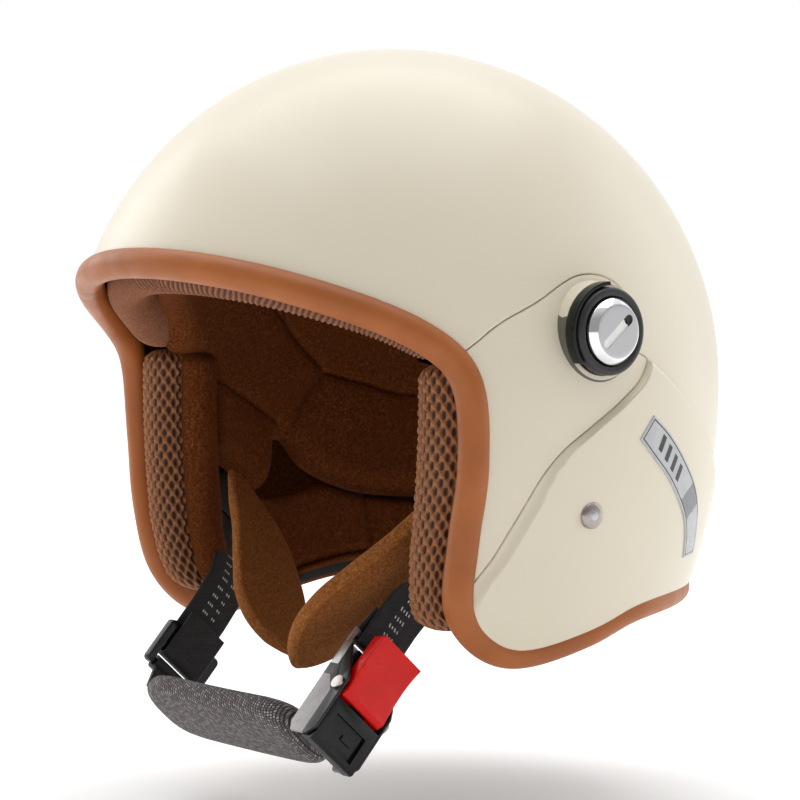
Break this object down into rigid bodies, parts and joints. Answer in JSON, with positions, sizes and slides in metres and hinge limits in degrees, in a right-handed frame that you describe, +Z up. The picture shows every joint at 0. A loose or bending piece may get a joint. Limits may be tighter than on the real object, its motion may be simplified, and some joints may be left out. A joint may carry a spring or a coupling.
{
  "type": "open face motorcycle helmet",
  "caption": "Open face motorcycle helmet with a moulded shell, padded suede lining, cheek bolsters, visor pivots and a padded chin strap with a quick-release buckle.",
  "frame": {"origin": "centre of the head cavity on the helmet's middle plane, level with the widest section of the shell", "axes": "+X to the wearer's left, along the axis through both visor pivots; -Y is the front; +Z up through the crown"},
  "size_m": [0.269, 0.2762, 0.2848],
  "materials": {
    "shell_paint": "satin cream paint on moulded ABS, clear coated",
    "trim_leather": "smooth tan leather-look edge bead",
    "foam": "dark moulded EPS foam",
    "suede": "brown suede with a short nap",
    "suede_flap": "lighter brown suede",
    "rib_knit": "brown ribbed knit",
    "mesh": "brown perforated spacer mesh",
    "chrome": "polished chrome",
    "steel": "plain steel",
    "black_plastic": "semi-gloss black plastic",
    "red_plastic": "glossy red plastic",
    "webbing": "black woven polyester webbing",
    "knit_grey": "grey-taupe twill knit",
    "label": "silver-grey badge film",
    "brass": "turned brass"
  },
  "bodies": {
    "helmet": {"outer_shell": "shell_paint", "side_plate_left": "shell_paint", "side_plate_right": "shell_paint", "edge_trim": "trim_leather", "impact_liner": "foam", "crown_liner": "suede", "brow_band": "rib_knit", "neck_pad": "suede", "cheek_pad_left": "suede", "cheek_pad_right": "suede", "cheek_mesh_left": "mesh", "cheek_mesh_right": "mesh", "liner_snaps": "black_plastic", "label_left": "label", "label_right": "label", "visor_base_left": "black_plastic", "visor_base_right": "black_plastic", "pivot_nut_left": "brass", "pivot_nut_right": "brass", "strap_rivet_left": "chrome", "strap_rivet_right": "chrome", "rivet_washer_left": "steel", "rivet_washer_right": "steel"},
    "visor_collar_left": {"visor_collar_left": "black_plastic"},
    "visor_collar_right": {"visor_collar_right": "black_plastic"},
    "visor_screw_left": {"visor_screw_left": "chrome"},
    "visor_screw_right": {"visor_screw_right": "chrome"},
    "strap_left": {"hanger_left": "steel", "webbing_left": "webbing", "buckle_frame": "steel", "buckle_cover": "black_plastic", "lever_pin": "steel", "lever_spring": "steel"},
    "release_lever": {"release_lever": "red_plastic"},
    "strap_right": {"hanger_right": "steel", "webbing_right": "webbing", "strap_slider": "black_plastic"},
    "chin_section": {"chin_loop": "webbing", "chin_pad": "knit_grey", "ladder_tongue": "black_plastic"},
    "ear_flap_left": {"ear_flap_left": "suede_flap"},
    "ear_flap_right": {"ear_flap_right": "suede_flap"}
  },
  "joints": [
    {"name": "visor_collar_left_turn", "type": "hinge", "parent": "helmet", "child": "visor_collar_left", "pos_m": [0.1256, 0.0019, 0.0248], "axis": [1, 0, 0], "range_deg": [-60, 0]},
    {"name": "visor_collar_right_turn", "type": "hinge", "parent": "helmet", "child": "visor_collar_right", "pos_m": [-0.1256, 0.0019, 0.0248], "axis": [1, 0, 0], "range_deg": [-60, 0]},
    {"name": "visor_screw_left_turn", "type": "hinge", "parent": "helmet", "child": "visor_screw_left", "pos_m": [0.1256, 0.0019, 0.0248], "axis": [1, 0, 0], "range_deg": [0, 90]},
    {"name": "visor_screw_right_turn", "type": "hinge", "parent": "helmet", "child": "visor_screw_right", "pos_m": [-0.1256, 0.0019, 0.0248], "axis": [1, 0, 0], "range_deg": [-90, 0]},
    {"name": "strap_left_swing", "type": "hinge", "parent": "helmet", "child": "strap_left", "pos_m": [0.1055, -0.0013, -0.0453], "axis": [1, 0, 0], "range_deg": [0, 20]},
    {"name": "strap_right_swing", "type": "hinge", "parent": "helmet", "child": "strap_right", "pos_m": [-0.1055, -0.0013, -0.0453], "axis": [1, 0, 0], "range_deg": [0, 20]},
    {"name": "chin_section_open", "type": "hinge", "parent": "strap_right", "child": "chin_section", "pos_m": [-0.06, -0.07089, -0.12259], "axis": [0, 0.7431, -0.6691], "range_deg": [0, 75]},
    {"name": "release_lever_lift", "type": "hinge", "parent": "strap_left", "child": "release_lever", "pos_m": [0.066, -0.06754, -0.11887], "axis": [0, 0.7431, -0.6691], "range_deg": [0, 50], "stiffness_Nm_per_rad": 0.05, "springref_deg": -5.73},
    {"name": "ear_flap_left_swing", "type": "hinge", "parent": "helmet", "child": "ear_flap_left", "pos_m": [0.0745, -0.03, -0.037], "axis": [0, 1, 0], "range_deg": [-3, 10]},
    {"name": "ear_flap_right_swing", "type": "hinge", "parent": "helmet", "child": "ear_flap_right", "pos_m": [-0.0745, -0.03, -0.037], "axis": [0, 1, 0], "range_deg": [-4, 12]}
  ],
  "couplings": [
    {"joint": "strap_right_swing", "follows": "strap_left_swing", "ratio": 1}
  ]
}
